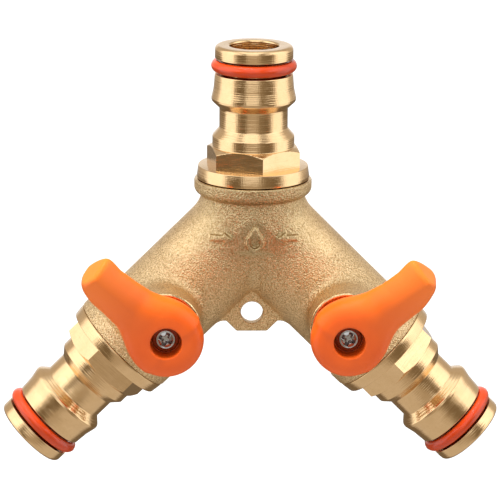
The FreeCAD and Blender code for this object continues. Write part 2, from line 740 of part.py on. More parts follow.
def raised(height):
    return Placement(Vector(0, 0, size_of(height)), Rotation())


def drive_socket(name):
    """Round socket with two flats, which fits over the end of the stem."""
    tall = "socket_top - stem_shoulder + overrun"
    post = cylinder(name + "_round", "drive_r + drive_gap", tall, raised("stem_shoulder - overrun"))
    flats = doc.addObject("Part::Box", name + "_flats")
    bind(flats, Length="(drive_flat + drive_gap) * 2", Width="(drive_r + overrun) * 2", Height=tall)
    bind(flats, Placement__Base__x="-drive_flat - drive_gap", Placement__Base__y="-drive_r - overrun",
         Placement__Base__z="stem_shoulder - overrun")
    socket = doc.addObject("Part::Common", name)
    socket.Base = post
    socket.Tool = flats
    return socket


def lever(word, side):
    """Moulded quarter-turn lever."""
    name = f"{word}_lever"
    recess = cylinder(name + "_recess", "recess_r", "hub_wide_at - hub_edge", raised("recess_floor"))
    hole = cylinder(name + "_screw_hole", "screw_hole_r", "recess_floor - socket_top + overrun * 2",
                    raised("socket_top - overrun"))
    blank = fused(name + "_blank", [lever_hub(name + "_hub"), lever_arm(name + "_arm")])
    tools = [recess, hole, drive_socket(name + "_socket"), stop_track(name + "_stop_track")]
    finish(cut_from(name, blank, fused(name + "_cuts", tools)), name, valve(side))


def lever_screw(word, side):
    """Pan head screw with a cross recess, run into the end of the stem."""
    name = f"{word}_lever_screw"
    top = "recess_floor + head_tall"
    body = turned_body(name, [
        ("0", "screw_end"),
        ("screw_r - screw_point", "screw_end"),
        ("screw_r", "screw_end + screw_point"),
        ("screw_r", "recess_floor"),
        ("head_r", "recess_floor"),
        ("head_r", "recess_floor + head_side"),
        ("head_shoulder_r", "recess_floor + head_shoulder"),
        ("head_crown_r", top),
        ("0", top),
    ])
    half_long = "cross_long / 2"
    half_wide = "cross_wide / 2"
    quarter = [(half_long, f"-{half_wide}"), (half_long, half_wide), (half_wide, half_wide)]
    cross = []
    for turn in range(4):
        for across, up in quarter:
            for _ in range(turn):
                across, up = f"-({up})", across
            cross.append((across, up))
    sketch = body_sketch(body, name + "_cross", "XY_Plane", top)
    outline(sketch, cross)
    pocket(body, sketch, "cross_deep")
    finish(body, name, valve(side))


def ball_valve(word, side):
    """Everything that one lever turns, and the seats and seals round it."""
    ball(word, side)
    seat(f"{word}_inner_seat", side, False)
    seat(f"{word}_outer_seat", side, True)
    stem(word, side)
    flat_ring(f"{word}_thrust_washer", "washer_inner_r", "washer_outer_r", "washer_tall",
              valve(side, size_of("collar_pocket_top - washer_tall")))
    stem_oring(f"{word}_lower_stem_oring", side, "gland_low")
    stem_oring(f"{word}_upper_stem_oring", side, "gland_high")
    lever(word, side)
    lever_screw(word, side)


def write_parts():
    """Check every object, then write one STEP file per sub-part."""
    doc.recompute()
    for item in doc.Objects:
        if "Invalid" in item.State or "Error" in item.State:
            raise RuntimeError(f"{item.Label} did not rebuild: {item.State}")
    for item in sub_parts:
        if item.Shape.isNull() or not item.Shape.isValid():
            raise RuntimeError(f"{item.Label} has no valid shape")
    os.makedirs("parts", exist_ok=True)
    for item in sub_parts:
        item.Shape.exportStep(f"parts/{item.Label}.step")
        print(f"{item.Label:28s} {len(item.Shape.Solids)} solid  {item.Shape.Volume:9.1f} mm3")


sub_parts = []
valve_body()
hose_ports()
for word, side in SIDES.items():
    ball_valve(word, side)
write_parts()
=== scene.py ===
"""Looks of the two-way hose splitter: cast body, turned nipples, moulded levers, seals and screws.

Shapes that are cast or moulded are modelled as distance fields, whose blends give the soft fillets of a
casting, and are meshed here. Turned pieces are lathed from their profiles. Local sizes are in millimetres.
"""
import functools
import json
import math

import bmesh
import bpy
import numpy as np
from mathutils import Matrix, Vector


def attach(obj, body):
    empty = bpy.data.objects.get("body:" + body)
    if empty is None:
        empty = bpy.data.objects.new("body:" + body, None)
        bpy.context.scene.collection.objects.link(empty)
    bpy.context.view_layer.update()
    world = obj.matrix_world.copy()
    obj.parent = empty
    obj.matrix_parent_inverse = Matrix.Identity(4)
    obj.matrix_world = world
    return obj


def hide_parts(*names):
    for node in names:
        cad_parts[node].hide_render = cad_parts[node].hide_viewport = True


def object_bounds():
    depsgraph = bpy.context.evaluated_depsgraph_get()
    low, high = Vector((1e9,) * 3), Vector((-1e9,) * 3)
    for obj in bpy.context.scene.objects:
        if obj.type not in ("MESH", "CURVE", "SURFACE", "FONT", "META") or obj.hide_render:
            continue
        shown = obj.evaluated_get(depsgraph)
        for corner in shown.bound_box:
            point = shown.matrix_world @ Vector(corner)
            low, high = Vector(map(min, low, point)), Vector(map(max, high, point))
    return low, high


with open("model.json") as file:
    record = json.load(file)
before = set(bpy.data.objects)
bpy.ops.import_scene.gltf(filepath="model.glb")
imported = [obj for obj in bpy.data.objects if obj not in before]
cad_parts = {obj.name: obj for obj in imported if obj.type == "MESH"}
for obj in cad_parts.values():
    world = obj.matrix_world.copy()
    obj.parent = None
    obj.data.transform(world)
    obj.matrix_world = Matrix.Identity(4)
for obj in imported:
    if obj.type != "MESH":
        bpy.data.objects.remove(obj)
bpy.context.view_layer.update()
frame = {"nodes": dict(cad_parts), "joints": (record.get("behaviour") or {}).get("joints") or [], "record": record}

MM = 0.001
SIDES = {"left": -1, "right": 1}
COARSE = 1.0

# ---------------------------------------------------------------- sizes in millimetres

# Distances from the crossing of the body's axes.
INLET_JOINT = 8.75       # up to the inlet's joint face
LEG_JOINT = 37.5         # down a leg to the outlet's joint face
PIVOT_ALONG = 25.9       # down a leg to the stem's axis
BOSS_FACE = 18.5         # forward to the face that the lever sits over
LUG_HOLE_DROP = 19.7
LUG_DROP = 23.65

# Heights in the valve frame, which starts on the leg's axis.
LEVER_BASE = 19.05
RECESS_FLOOR = 25.3      # where the screw's head seats
LEVER_FACE = 29.5


# ---------------------------------------------------------------- places, from the frame

def joint_named(name):
    return next(joint for joint in frame["joints"] if joint["name"] == name)


PIVOTS = {word: Vector(joint_named(f"{word}_lever_turn")["pos_m"]) for word in SIDES}
CROSSING = Vector((0, 0, PIVOTS["left"].z + abs(PIVOTS["left"].x)))
LEG_WAYS = {word: (PIVOTS[word] - CROSSING).normalized() for word in SIDES}


def axes_matrix(origin, x_axis, z_axis):
    """Placement in metres of a local frame whose own units are millimetres."""
    y_axis = z_axis.cross(x_axis)
    turn = Matrix((x_axis, y_axis, z_axis)).transposed().to_4x4()
    return Matrix.Translation(origin) @ turn @ Matrix.Scale(MM, 4)


def port_matrix(axis, joint, turn_degrees):
    """Nipple frame: +Z out along the hose axis, zero on the joint face, +X turned from facing -Y."""
    front = Vector((0, -1, 0))
    side = front.cross(axis)
    turn = math.radians(turn_degrees)
    x_axis = front * math.cos(turn) + side * math.sin(turn)
    return axes_matrix(CROSSING + axis * joint * MM, x_axis, axis)


def valve_matrix(word):
    """Valve frame: +Z out along the stem, +X along the lever at rest."""
    leg = LEG_WAYS[word]
    lever = Vector((math.copysign(abs(leg.z), SIDES[word]), 0, abs(leg.x)))
    return axes_matrix(PIVOTS[word], lever, Vector((0, -1, 0)))


# ---------------------------------------------------------------- distance fields

def rod(radial, along, radius, start, end, edge=0.0):
    """Capped cylinder with rounded rims."""
    over_r = radial - radius + edge
    over_a = np.abs(along - (start + end) / 2) - (end - start) / 2 + edge
    outside = np.hypot(np.maximum(over_r, 0), np.maximum(over_a, 0))
    return outside + np.minimum(np.maximum(over_r, over_a), 0) - edge


def merge(first, second, blend):
    """Union with a fillet about as large as the blend."""
    mix = np.clip(0.5 + 0.5 * (second - first) / blend, 0, 1)
    return second * (1 - mix) + first * mix - blend * mix * (1 - mix)


def overlap(first, second, blend=0.1):
    return -merge(-first, -second, blend)


def cut(solid, tool, blend=0.1):
    return -merge(-solid, tool, blend)


def polygon(across, up, corners):
    """Signed distance to a closed outline."""
    nearest = np.full(across.shape, 1e9)
    sign = np.ones(across.shape)
    count = len(corners)
    for index in range(count):
        ax, ay = corners[index]
        bx, by = corners[index - 1]
        ex, ey = bx - ax, by - ay
        wx, wy = across - ax, up - ay
        share = np.clip((wx * ex + wy * ey) / (ex * ex + ey * ey), 0, 1)
        nearest = np.minimum(nearest, (wx - ex * share) ** 2 + (wy - ey * share) ** 2)
        above, below = up >= ay, up < by
        left = ex * wy > ey * wx
        crossing = (above & below & left) | (~above & ~below & ~left)
        sign = np.where(crossing, -sign, sign)
    return sign * np.sqrt(nearest)


def net_cells(values):
    """For every grid cell, the mean place of the surface's crossings on its edges, and their number."""
    shape = tuple(size - 1 for size in values.shape)
    total = np.zeros(shape + (3,), np.float32)
    hits = np.zeros(shape, np.int8)
    crossings = []
    for axis in range(3):
        low = np.take(values, range(0, values.shape[axis] - 1), axis)
        high = np.take(values, range(1, values.shape[axis]), axis)
        crossed = (low < 0) != (high < 0)
        share = np.where(crossed, low / np.where(crossed, low - high, 1), 0)
        others = [other for other in range(3) if other != axis]
        for first in (0, 1):
            for second in (0, 1):
                window = [slice(None)] * 3
                window[others[0]] = slice(first, first + shape[others[0]])
                window[others[1]] = slice(second, second + shape[others[1]])
                hit = crossed[tuple(window)]
                total[..., axis] += share[tuple(window)]
                total[..., others[0]] += hit * first
                total[..., others[1]] += hit * second
                hits += hit
        crossings.append((crossed, low < 0, others))
    return total, hits, crossings


def net_faces(index_of, crossings):
    """One quad round every crossed grid edge, wound to face outwards."""
    quads = []
    for axis, (crossed, starts_inside, others) in enumerate(crossings):
        inner = [slice(None)] * 3
        for other in others:
            inner[other] = slice(1, -1)
        where = np.argwhere(crossed[tuple(inner)])
        inside = starts_inside[tuple(inner)][tuple(where.T)]
        ring = []
        for first, second in ((0, 0), (1, 0), (1, 1), (0, 1)):
            cell = where.copy()
            cell[:, others[0]] += first
            cell[:, others[1]] += second
            ring.append(index_of[tuple(cell.T)])
        quad = np.stack(ring, 1)
        flip = inside if axis == 1 else ~inside
        quad[flip] = quad[flip][:, ::-1]
        quads.append(quad)
    return np.concatenate(quads)


def settle(points, field, step):
    """Move the net's points onto the field's zero level."""
    for _ in range(2):
        here = field(*points.T)
        slopes = []
        for axis in range(3):
            shifted = points.copy()
            shifted[:, axis] += step * 0.1
            slopes.append((field(*shifted.T) - here) / (step * 0.1))
        slope = np.stack(slopes, 1)
        move = here[:, None] * slope / np.maximum((slope ** 2).sum(1), 0.25)[:, None]
        points = points - np.clip(move, -step * 0.4, step * 0.4)
    return points


def field_mesh(name, field, low, high, step):
    """Mesh of a distance field's zero level between two corners."""
    step *= COARSE
    axes = [np.arange(low[k], high[k] + step, step) for k in range(3)]
    grid = np.meshgrid(*axes, indexing="ij")
    values = field(*grid).astype(np.float32)
    total, hits, crossings = net_cells(values)
    cells = np.argwhere(hits > 0)
    index_of = np.full(hits.shape, -1, np.int64)
    index_of[tuple(cells.T)] = np.arange(len(cells))
    share = total[tuple(cells.T)] / hits[tuple(cells.T)][:, None]
    points = settle(np.array(low) + step * (cells + share), field, step)
    quads = net_faces(index_of, crossings)
    mesh = bpy.data.meshes.new(name)
    mesh.vertices.add(len(points))
    mesh.vertices.foreach_set("co", points.astype(np.float32).ravel())
    mesh.loops.add(len(quads) * 4)
    mesh.loops.foreach_set("vertex_index", quads.astype(np.int32).ravel())
    mesh.polygons.add(len(quads))
    mesh.polygons.foreach_set("loop_start", np.arange(0, len(quads) * 4, 4, dtype=np.int32))
    mesh.update(calc_edges=True)
    mesh.validate()
    mesh.shade_smooth()
    return mesh


# ---------------------------------------------------------------- casting

LEG_SIN = math.sin(math.radians(45))
PIVOT_OUT = PIVOT_ALONG * LEG_SIN        # stem axis from the crossing, both across and down
LEG_TUBE_R = 10.3
BARREL_R = 10.4
INLET_RIM_R = 12.05
INLET_RIM_LOW = 5.6
LEG_RIM_R = 11.45
LEG_RIM_START = 35.0
BOSS_R = 7.3
NUB_R = 0.7
NUB_DROP = 4.4           # stop nub's distance below the stem axis
NUB_PROUD = 1.3
LUG_HALF_THICK = 1.2
LUG_HALF_WIDE = 5.3
LUG_BEVEL = 2.15
LUG_HOLE_R = 2.3
WEB_HALF_WIDE = 7.6      # reaches into both legs at the tab's shoulders
WEB_TOP = -11            # its point, inside the legs' crossing
WATERWAY_R = 5.0
INLET_WATERWAY_R = 6.5
BALL_CHAMBER_R = 7.55
BALL_CHAMBER = (18.8, 33.5)
SPIGOT_BORE_R = 8.6
INLET_BORE_FLOOR = 4.2   # height at which the inlet's spigot bore ends
SEAL_RECESS_R = 9.7
SEAL_RECESS_DEEP = 1.0
STEM_HOLE_R = 3.1
STEM_COLLAR_R = 4.1
STEM_COLLAR_TOP = 9.5
PAST_FACE = 3.5          # how far a bore's tool runs out past the face it opens on

CAST_MESH_STEP = 0.26

SIGNS_HALF_WIDE = 11     # room round the signs, measured from their middle
SIGNS_HALF_TALL = 4.4
SIGN_PROUD = 0.95
SIGN_LINE = -1.6         # height of the arrows' middle
DROP_MIDDLE = -2.4       # height of the middle of the drop's round end
DROP_SIGN_R = 1.95
DROP_SIGN_TALL = 3.75
DROP_LINE = 0.45         # half the drawn outline's width
ARROW_NEAR = 4.5
ARROW_LONG = 4.5
ARROW_HEAD = 1.9
ARROW_HEAD_HALF = 1.3
ARROW_SHAFT_HALF = 0.6


def leg_coordinates(x, y, z, side):
    """Distance down a leg's axis, and away from it."""
    along = (side * x - z) * LEG_SIN
    across = (side * x + z) * LEG_SIN
    return along, np.hypot(across, y)


def casting_skin(x, y, z):
    """Barrel and leg tubes, run together."""
    solid = None
    for side in SIDES.values():
        along, radial = leg_coordinates(x, y, z, side)
        tube = rod(radial, along, LEG_TUBE_R, -2, LEG_JOINT, 0.3)
        solid = tube if solid is None else merge(solid, tube, 1.6)
    barrel = rod(np.hypot(x, y), z, BARREL_R, -4, INLET_JOINT, 0.3)
    return merge(solid, barrel, 2.0)


def arrow_corners(side):
    """Arrow that points to the middle."""
    upper = [(ARROW_HEAD, ARROW_HEAD_HALF), (ARROW_HEAD, ARROW_SHAFT_HALF), (ARROW_LONG, ARROW_SHAFT_HALF)]
    shape = [(0, 0)] + upper + [(reach, -rise) for reach, rise in reversed(upper)]
    return [(side * (ARROW_NEAR + reach), SIGN_LINE + rise) for reach, rise in shape]


def raised_signs(x, z):
    """Outline of a water drop between two arrows, as a flat field."""
    disc = np.hypot(x, z - DROP_MIDDLE) - DROP_SIGN_R
    reach = DROP_SIGN_R * math.sqrt(1 - (DROP_SIGN_R / DROP_SIGN_TALL) ** 2)
    touch = DROP_MIDDLE + DROP_SIGN_R ** 2 / DROP_SIGN_TALL
    point = polygon(x, z, [(-reach, touch), (reach, touch), (0, DROP_MIDDLE + DROP_SIGN_TALL)])
    drop = np.minimum(disc, point)
    sign = np.abs(drop + DROP_LINE) - DROP_LINE
    for side in SIDES.values():
        sign = np.minimum(sign, polygon(x, z, arrow_corners(side)))
    return sign


def add_signs(solid, skin, x, y, z):
    """Raise the signs from the skin, looking only where they are."""
    near = (np.abs(x) < SIGNS_HALF_WIDE) & (np.abs(z - SIGN_LINE) < SIGNS_HALF_TALL) & (y < -6)
    if near.any():
        raised = overlap(skin[near] - SIGN_PROUD, raised_signs(x[near], z[near]), 0.4)
        solid[near] = merge(solid[near], raised, 0.2)
    return solid


def lug(x, y, z):
    """Flat web between the legs and its bevelled tab."""
    bevelled = LUG_HALF_WIDE - LUG_BEVEL
    shoulder = -LUG_DROP + LUG_BEVEL
    outline = [
        (-bevelled, -LUG_DROP), (bevelled, -LUG_DROP), (LUG_HALF_WIDE, shoulder),
        (WEB_HALF_WIDE, shoulder), (0, WEB_TOP), (-WEB_HALF_WIDE, shoulder),
        (-LUG_HALF_WIDE, shoulder),
    ]
    return overlap(polygon(x, z, outline), np.abs(y) - LUG_HALF_THICK, 0.25)


def ways_through(x, y, z):
    """Waterways, ball chambers, stem holes and the lug's hole, as one field."""
    barrel = np.hypot(x, y)
    past_lug = LUG_HALF_THICK + PAST_FACE
    bores = [
        rod(barrel, z, INLET_WATERWAY_R, 0, INLET_JOINT),
        np.hypot(barrel, z) - INLET_WATERWAY_R,
        rod(barrel, z, SPIGOT_BORE_R, INLET_BORE_FLOOR, INLET_JOINT + PAST_FACE),
        rod(barrel, z, SEAL_RECESS_R, INLET_JOINT - SEAL_RECESS_DEEP, INLET_JOINT + PAST_FACE),
        rod(np.hypot(x, z + LUG_HOLE_DROP), y, LUG_HOLE_R, -past_lug, past_lug),
    ]
    for side in SIDES.values():
        along, radial = leg_coordinates(x, y, z, side)
        stem = np.hypot(x - side * PIVOT_OUT, z + PIVOT_OUT)
        bores += [
            rod(radial, along, WATERWAY_R, 0, PIVOT_ALONG),
            rod(radial, along, BALL_CHAMBER_R, *BALL_CHAMBER),
            rod(radial, along, SPIGOT_BORE_R, BALL_CHAMBER[1] - 0.5, LEG_JOINT + PAST_FACE),
            rod(radial, along, SEAL_RECESS_R, LEG_JOINT - SEAL_RECESS_DEEP, LEG_JOINT + PAST_FACE),
            rod(stem, -y, STEM_HOLE_R, 0, BOSS_FACE + PAST_FACE),
            rod(stem, -y, STEM_COLLAR_R, 0, STEM_COLLAR_TOP),
        ]
    return functools.reduce(np.minimum, bores)


def casting(x, y, z):
    """The whole casting, in the body frame."""
    skin = casting_skin(x, y, z)
    rim = rod(np.hypot(x, y), z, INLET_RIM_R, INLET_RIM_LOW, INLET_JOINT + 3, 1.5)
    solid = merge(skin, overlap(rim, z - INLET_JOINT, 0.4), 0.7)
    solid = merge(solid, lug(x, y, z), 0.9)
    solid = add_signs(solid, skin, x, y, z)
    for side in SIDES.values():
        along, radial = leg_coordinates(x, y, z, side)
        solid = merge(solid, rod(radial, along, LEG_RIM_R, LEG_RIM_START, LEG_JOINT, 0.2), 2.6)
        across = x - side * PIVOT_OUT
        boss = rod(np.hypot(across, z + PIVOT_OUT), -y, BOSS_R, 0, BOSS_FACE, 0.35)
        solid = merge(solid, boss, 2.2)
        from_nub = np.hypot(across, z + PIVOT_OUT + NUB_DROP)
        solid = np.minimum(solid, rod(from_nub, -y, NUB_R, BOSS_FACE - 1, BOSS_FACE + NUB_PROUD, 0.15))
    return cut(solid, ways_through(x, y, z), 0.2)


def valve_body():
    """Cast body, meshed once and placed at the crossing of its axes."""
    reach = (LEG_JOINT + LEG_RIM_R) * LEG_SIN + 0.8
    low = (-reach, -BOSS_FACE - NUB_PROUD - 0.6, -reach)
    high = (reach, INLET_RIM_R + 0.95, INLET_JOINT + 0.6)
    mesh = field_mesh("cast_body", casting, low, high, CAST_MESH_STEP)
    place = Matrix.Translation(CROSSING) @ Matrix.Scale(MM, 4)
    return add_piece(mesh, "cast_body", place, "root", "cast_brass", "valve_body")


# ---------------------------------------------------------------- levers and screws

HUB_R = 7.8
HUB_SHOULDER = 26        # height below which the hub's side draws in
HUB_DRAW_IN = 0.246      # slope of the side below the shoulder
HUB_DRAFT = 0.05         # slope of the side above it
RECESS_R = 3.15
SCREW_HOLE_R = 1.4
SOCKET_R = 2.75
SOCKET_TOP = 24.7
SOCKET_FLAT = 2.05       # stem axis to the socket's flats
UNDERCUT_R = 5.2         # outside this radius the hub's base is higher, by UNDERCUT_DEEP
UNDERCUT_DEEP = 1.1
TRACK_R = 4.4
TRACK_HALF_WIDE = 0.8
TRACK_TOP = 20.6
TRACK_HALF_TURN = math.radians(57.25)
ARM_END = 22.1
ARM_END_LOW = 27.6       # height at which the slope on the arm's end starts
END_WAY = (0.98, 0.2)    # the end's slope faces this way, out along the arm and up
CORNER_WAY = (0.438, 0.899)          # the tip's lower corner is cut square to this way, out and down
CORNER_REACH = 12.0
ARM_DRIFT = {"left": -0.005, "right": 0.055}         # sideways drift of the arm's middle line, per length
TIP_RISE = {"left": 0.1, "right": 0.8}               # extra half width of the arm's upper side at its tip
LEVER_BOX = ((-8.6, -8.6, 18.4), (23.6, 8.6, 36.6))
LEVER_MESH_STEP = 0.24

HEAD_R = 2.8
HEAD_TALL = 1.7
HEAD_RIDGE_R = 1.85      # fine raised ring round the recess
HEAD_RIDGE = 0.16        # its height and its width
SLOT_HALF_WIDE = 0.42
SLOT_HALF_LONG = 1.75
SLOT_FLOOR = 0.5
SHANK_R = 1.2
SHANK_LONG = 5.7
SCREW_TURN = math.radians(20)
SCREW_BOX = ((-3.1, -3.1, -6.0), (3.1, 3.1, 2.0))
SCREW_MESH_STEP = 0.09


def arm_half_width(reach):
    """From the arm's middle line to its lower edge: broad at the hub and narrowing to the tip."""
    return np.interp(reach, [0, 4.5, 9, 13, 17, 19.5, 22.4], [5.7, 5.5, 5.0, 4.7, 4.6, 4.5, 3.1])


def arm_upper_half_width(reach, rise):
    """From the middle line to the upper edge, which is waisted more and flares to a corner at the tip."""
    width = np.interp(reach, [0, 4.5, 9, 13, 17, 19.5, 22.1], [5.7, 5.5, 4.95, 4.5, 4.25, 4.5, 4.4])
    return width + rise * np.clip((reach - 13) / 9, 0, 1)


def arm_half_thick(reach):
    """Half the arm's thickness, along the stem."""
    return np.interp(reach, [0, 5, 9, 13, 17, 22], [4.3, 4.3, 4.1, 3.95, 3.9, 3.9])


def arm_middle(reach):
    """Height of the arm's middle line, which rises away from the casting."""
    return np.interp(reach, [0, 5, 9, 13, 17, 22], [24.4, 25.0, 26.5, 28.2, 29.8, 31.6])


def lever_arm(x, y, z, down, drift, rise):
    """The arm alone, from the stem axis out."""
    reach = np.clip(x, 0, ARM_END)
    half_thick, middle = arm_half_thick(reach), arm_middle(reach)
    power = np.interp(reach, [0, 7, 13, 22], [2.4, 1.8, 1.5, 1.45])
    aside = y - down * drift * x
    half_width = np.where(down * aside > 0, arm_half_width(reach), arm_upper_half_width(reach, rise))
    ring = (np.abs(aside / half_width) ** power + np.abs((z - middle) / half_thick) ** power) ** (1 / power)
    arm = (ring - 1) * np.minimum(half_width, half_thick)
    end = (x - ARM_END) * END_WAY[0] + (z - ARM_END_LOW) * END_WAY[1]
    corner = CORNER_WAY[0] * x + CORNER_WAY[1] * down * y - CORNER_REACH
    return overlap(overlap(overlap(arm, end, 1.3), corner, 1.2), -x, 0.5)


def lever(x, y, z, down, drift, rise):
    """Hub, arm and their soft blend, less the screw recess and what fits on the stem.

    down is 1 or -1, for the way along Y to the arm's lower side; drift and rise shape the arm."""
    radial = np.hypot(x, y)
    below = HUB_SHOULDER - z
    drawn_in = HUB_DRAW_IN / 2 * (below + np.sqrt(below ** 2 + 1.5))
    side = radial - HUB_R + drawn_in + HUB_DRAFT * np.maximum(-below, 0)
    hub = overlap(overlap(side, z - LEVER_FACE, 3.4), LEVER_BASE - z, 0.8)
    solid = merge(hub, lever_arm(x, y, z, down, drift, rise), 3.2)
    solid = cut(solid, np.maximum(z - LEVER_BASE - UNDERCUT_DEEP, UNDERCUT_R - radial), 0.2)
    solid = cut(solid, rod(radial, z, RECESS_R, RECESS_FLOOR, LEVER_FACE + 6.5), 0.35)
    socket = np.maximum(rod(radial, z, SOCKET_R, LEVER_BASE - 2, SOCKET_TOP), np.abs(x) - SOCKET_FLAT)
    solid = cut(solid, socket)
    solid = cut(solid, rod(radial, z, SCREW_HOLE_R, 20, 27))
    past_turn = (np.abs(np.arctan2(y, -x)) - TRACK_HALF_TURN) * radial
    track = np.maximum(np.maximum(np.abs(radial - TRACK_R) - TRACK_HALF_WIDE, past_turn), z - TRACK_TOP)
    return cut(solid, track)


def screw_head(x, y, z):
    """Pan head with a cross recess, and its shank; zero on the seating face."""
    radial = np.hypot(x, y)
    ridge = HEAD_RIDGE * np.exp(-((radial - HEAD_RIDGE_R) / HEAD_RIDGE) ** 2)
    dome = z - HEAD_TALL + 0.12 * radial ** 2 - ridge
    head = overlap(overlap(radial - HEAD_R, dome, 0.5), -z, 0.1)
    depth = np.clip(HEAD_TALL + 0.05 - z, 0, 1.3)
    half_wide = SLOT_HALF_WIDE - 0.12 * depth
    half_long = SLOT_HALF_LONG - 0.75 * depth
    slot_x = np.maximum(np.abs(x) - half_long, np.abs(y) - half_wide)
    slot_y = np.maximum(np.abs(y) - half_long, np.abs(x) - half_wide)
    centre = radial - 0.85 + 0.3 * depth
    cross = np.maximum(np.minimum(np.minimum(slot_x, slot_y), centre), SLOT_FLOOR - z)
    shank = rod(radial, z, SHANK_R, -SHANK_LONG, 0.3, 0.2)
    return np.minimum(cut(head, cross, 0.12), shank)


def levers():
    """The levers, and their screws from one mesh."""
    screw_mesh = field_mesh("lever_screw", screw_head, *SCREW_BOX, SCREW_MESH_STEP)
    for word in SIDES:
        place = valve_matrix(word)
        body = f"{word}_lever"
        field = functools.partial(lever, down=-SIDES[word], drift=ARM_DRIFT[word], rise=TIP_RISE[word])
        lever_mesh = field_mesh(f"{word}_lever", field, *LEVER_BOX, LEVER_MESH_STEP)
        add_piece(lever_mesh, f"{word}_moulded_lever", place, body, "orange_plastic", f"{word}_lever")
        seat = place @ Matrix.Translation((0, 0, RECESS_FLOOR)) @ Matrix.Rotation(SCREW_TURN, 4, "Z")
        add_piece(screw_mesh, f"{word}_pan_screw", seat, body, "screw_steel", f"{word}_lever_screw")


# ---------------------------------------------------------------- turned pieces

def eased(points, radius):
    """A closed profile with every corner replaced by a small arc; a corner may name its own radius."""
    rounded = []
    count = len(points)
    for index, corner in enumerate(points):
        own = corner[2] if len(corner) > 2 else radius
        here = Vector(corner[:2])
        before = Vector(points[index - 1][:2]) - here
        after = Vector(points[(index + 1) % count][:2]) - here
        room = min(own, before.length * 0.45, after.length * 0.45)
        start = here + before.normalized() * room
        end = here + after.normalized() * room
        for share in np.linspace(0, 1, 8 if own > 0.5 else 5):
            rounded.append(start.lerp(here, share).lerp(here.lerp(end, share), share))
    return rounded


def lathed(name, profile, segments, hexagon=None):
    """Mesh of a closed profile of (radius, height) turned about Z.

    hexagon is (flat distance, low, high): between those heights the radius is cut back to the flats."""
    build = bmesh.new()
    rings = []
    for step in range(segments):
        angle = 2 * math.pi * step / segments
        ring = []
        for radius, height in profile:
            if hexagon and hexagon[1] - 1e-6 <= height <= hexagon[2] + 1e-6:
                sector = (angle + math.pi / 6) % (math.pi / 3) - math.pi / 6
                to_flat = abs(abs(sector) - math.pi / 6)
                radius = min(radius, hexagon[0] / math.cos(to_flat))
            ring.append(build.verts.new((radius * math.cos(angle), radius * math.sin(angle), height)))
        rings.append(ring)
    count = len(profile)
    for step in range(segments):
        this, following = rings[step], rings[(step + 1) % segments]
        for index in range(count):
            after = (index + 1) % count
            build.faces.new((this[index], following[index], following[after], this[after]))
    bmesh.ops.recalc_face_normals(build, faces=build.faces)
    mesh = bpy.data.meshes.new(name)
    build.to_mesh(mesh)
    build.free()
    mesh.shade_smooth()
    mesh.set_sharp_from_angle(angle=math.radians(28))
    return mesh


BORE_R = 5.0
SPIGOT_R = 8.45
FLANGE_R = 11.5
FLANGE_TOP = 2.75
HEX_FLAT = 8.7
HEX_TOP = 6.75
BAND_R = 8.4
NECK_R = 7.0
GROOVE_R = 6.35
GROOVE_LOW = 21.85
GROOVE_HIGH = 25.05
TIP_R = 8.0
TIP_END = 27.65
HOSE_ORING_R = 7.55      # to the middle of the ring's section
HOSE_ORING_THICK_R = 1.2
INLET_GAP = 0.16         # fine shadow gaps between flange and casting
LEG_GAP = 0.32


def nipple_profile(gap):
    """Spigot, flange, hexagon, band, neck, collar, O-ring groove, tip and bore, as (radius, height)."""
    flange = [(10.6, 0.02), (10.6, gap), (FLANGE_R, gap), (FLANGE_R, 0.8), (11.25, FLANGE_TOP)]
    hexagon = [(10.1, FLANGE_TOP), (10.1, HEX_TOP - 0.85), (8.72, HEX_TOP)]
    neck = [(BAND_R, HEX_TOP), (BAND_R, 8.95), (NECK_R, 10.6), (NECK_R, 14.75)]
    collar = [(8.6, 16.25, 0.35), (8.66, 16.8), (8.22, 18.85), (7.98, GROOVE_LOW)]
    groove = [(GROOVE_R, GROOVE_LOW), (GROOVE_R, GROOVE_HIGH), (TIP_R, GROOVE_HIGH)]
    tip = [(TIP_R, TIP_END, 0.95), (BORE_R + 0.25, TIP_END), (BORE_R, TIP_END - 0.25)]
    spigot = [(BORE_R, -4.5), (SPIGOT_R, -4.5), (SPIGOT_R, 0.02)]
    corners = spigot + flange + hexagon + neck + collar + groove + tip
    return [tuple(point) for point in eased(corners, 0.14)]


def nipple_mesh(gap):
    """The profile, with extra rows up the hexagon so that its bevelled corners show."""
    rows = []
    profile = nipple_profile(gap)
    for index, (radius, height) in enumerate(profile):
        rows.append((radius, height))
        after = profile[(index + 1) % len(profile)]
        beside = min(height, after[1]) > FLANGE_TOP and max(height, after[1]) < HEX_TOP
        on_hexagon = beside and radius > BAND_R + 0.1
        if on_hexagon and math.dist((radius, height), after) > 0.3:
            for share in np.linspace(0, 1, 12)[1:-1]:
                rows.append((radius + (after[0] - radius) * share, height + (after[1] - height) * share))
    return lathed("nipple", rows, 192, (HEX_FLAT, FLANGE_TOP + 0.02, HEX_TOP + 0.02))


def oring_mesh():
    """O-ring with the faint parting line of its mould."""
    profile = []
    for step in range(32):
        angle = 2 * math.pi * step / 32
        swell = 0.03 if step == 0 else 0.0
        thick = HOSE_ORING_THICK_R + swell
        profile.append((HOSE_ORING_R + thick * math.cos(angle), thick * math.sin(angle)))
    return lathed("hose_oring", profile, 160)


